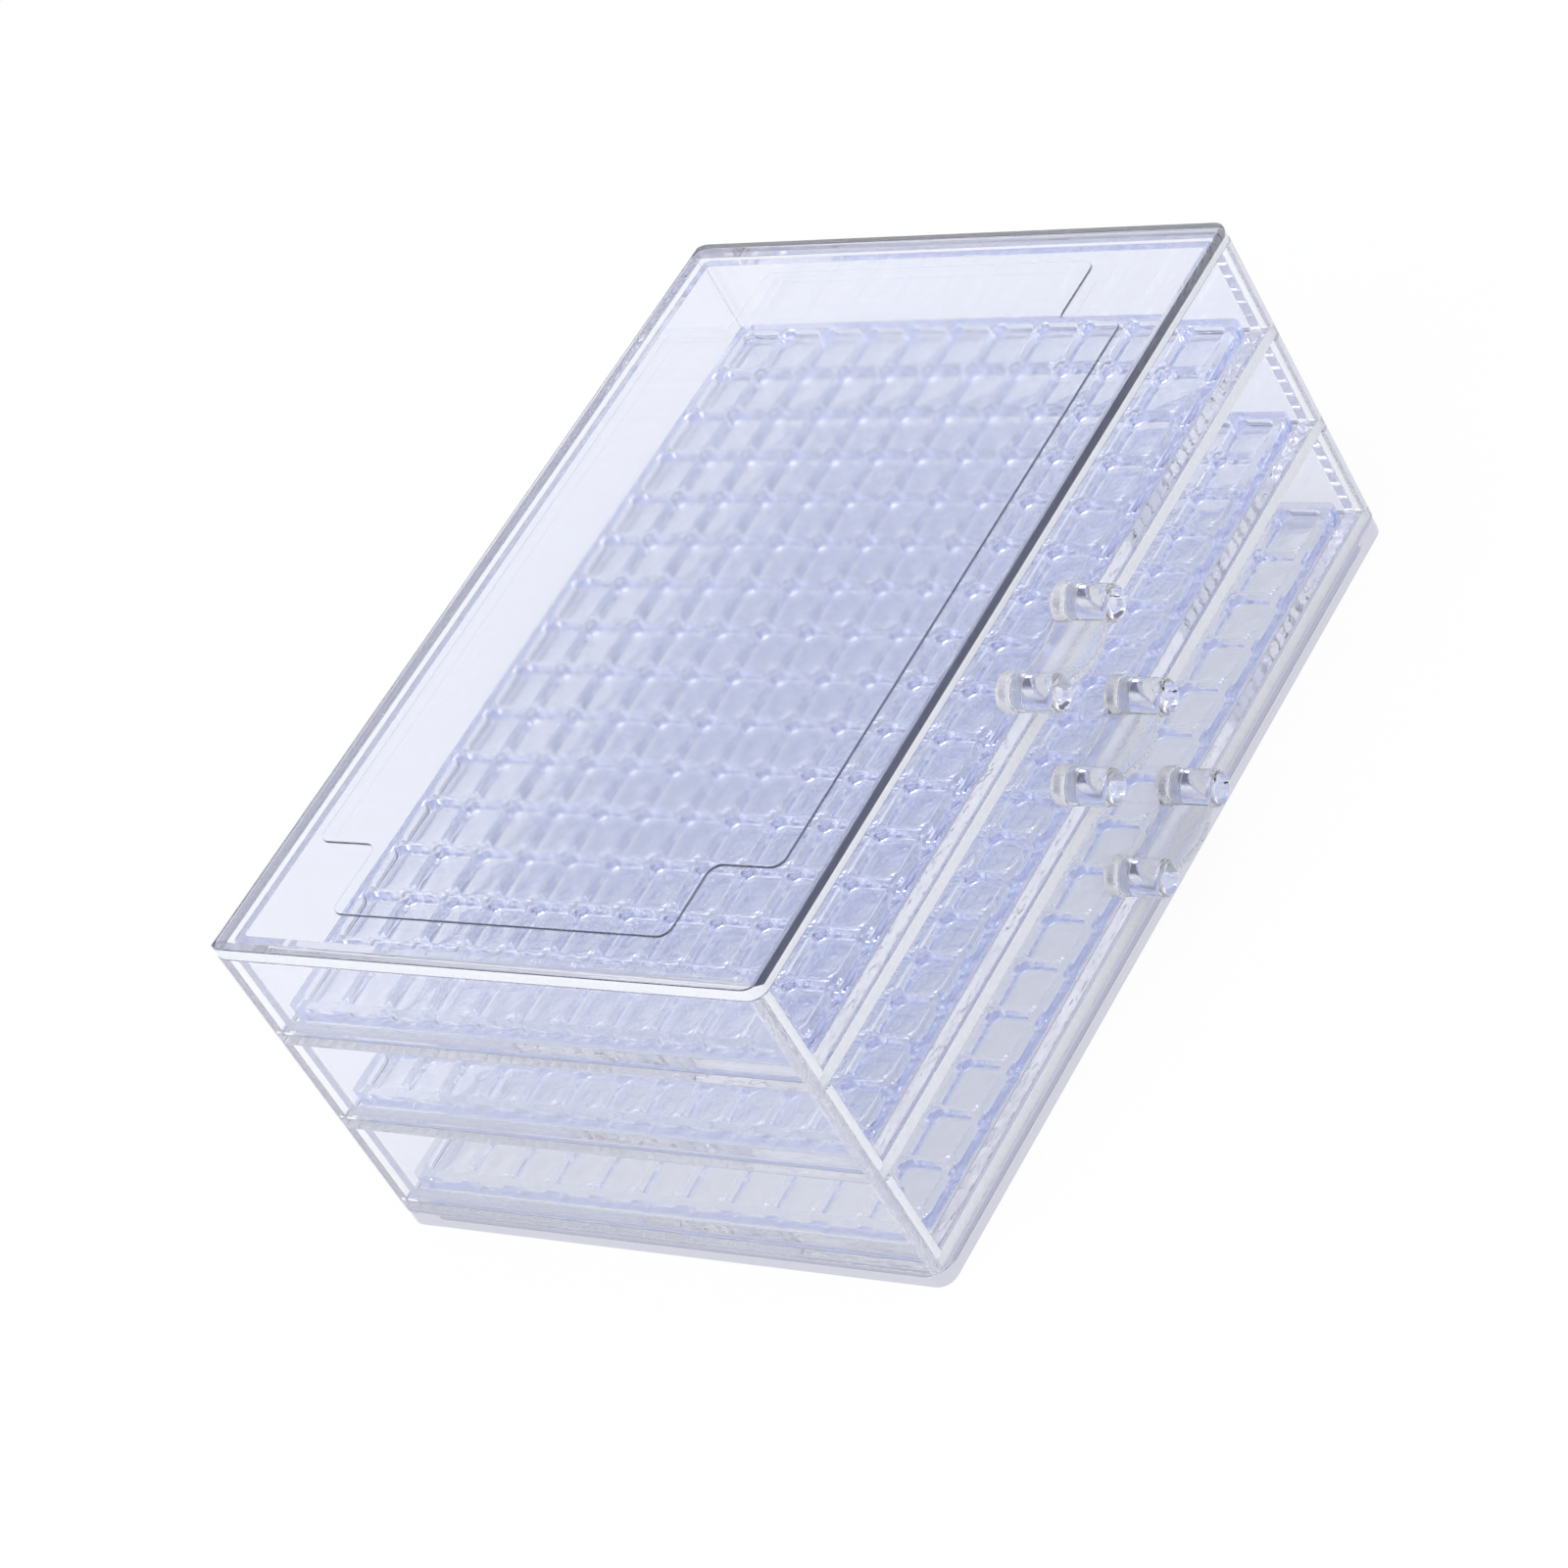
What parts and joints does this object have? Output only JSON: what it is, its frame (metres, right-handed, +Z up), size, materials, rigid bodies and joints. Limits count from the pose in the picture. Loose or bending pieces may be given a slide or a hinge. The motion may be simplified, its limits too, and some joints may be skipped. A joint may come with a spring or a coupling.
{
  "type": "bead storage box",
  "caption": "Clear box with stacked drawers that slide out by curved pull handles, each drawer holding a loose grid tray with pockets for beads.",
  "frame": {"origin": "middle of the whole box's footprint, handles included, on the surface it stands on", "axes": "+X along the width to the right seen from the drawer fronts, +Z up, drawers open towards -Y"},
  "size_m": [0.235, 0.172, 0.0961],
  "materials": {
    "clear_panel": "polished clear plastic with a faint lavender tint",
    "pale_plate": "polished clear plate with pale, finely sawn edges",
    "clear_drawer": "glossy clear moulding with a faint lavender tint",
    "clear_handle": "glossy clear moulding, hazy at the root of the posts",
    "clear_tray": "glossy clear moulding with a faint blue tint"
  },
  "bodies": {
    "case": {"top_panel": "clear_panel", "left_side_panel": "clear_panel", "right_side_panel": "clear_panel", "back_panel": "clear_panel", "upper_shelf": "pale_plate", "lower_shelf": "pale_plate", "floor_plate": "pale_plate", "plinth": "clear_panel"},
    "upper_drawer": {"upper_drawer": "clear_drawer", "upper_handle": "clear_handle"},
    "upper_tray": {"upper_bead_tray": "clear_tray"},
    "middle_drawer": {"middle_drawer": "clear_drawer", "middle_handle": "clear_handle"},
    "middle_tray": {"middle_bead_tray": "clear_tray"},
    "lower_drawer": {"lower_drawer": "clear_drawer", "lower_handle": "clear_handle"},
    "lower_tray": {"lower_bead_tray": "clear_tray"}
  },
  "joints": [
    {"name": "upper_drawer_slide", "type": "slide", "parent": "case", "child": "upper_drawer", "axis": [0, -1, 0], "range_m": [0, 0.125]},
    {"name": "upper_tray_lift", "type": "slide", "parent": "upper_drawer", "child": "upper_tray", "axis": [0, 0, 1], "range_m": [0, 0.018]},
    {"name": "middle_drawer_slide", "type": "slide", "parent": "case", "child": "middle_drawer", "axis": [0, -1, 0], "range_m": [0, 0.125]},
    {"name": "middle_tray_lift", "type": "slide", "parent": "middle_drawer", "child": "middle_tray", "axis": [0, 0, 1], "range_m": [0, 0.018]},
    {"name": "lower_drawer_slide", "type": "slide", "parent": "case", "child": "lower_drawer", "axis": [0, -1, 0], "range_m": [0, 0.125]},
    {"name": "lower_tray_lift", "type": "slide", "parent": "lower_drawer", "child": "lower_tray", "axis": [0, 0, 1], "range_m": [0, 0.018]}
  ]
}
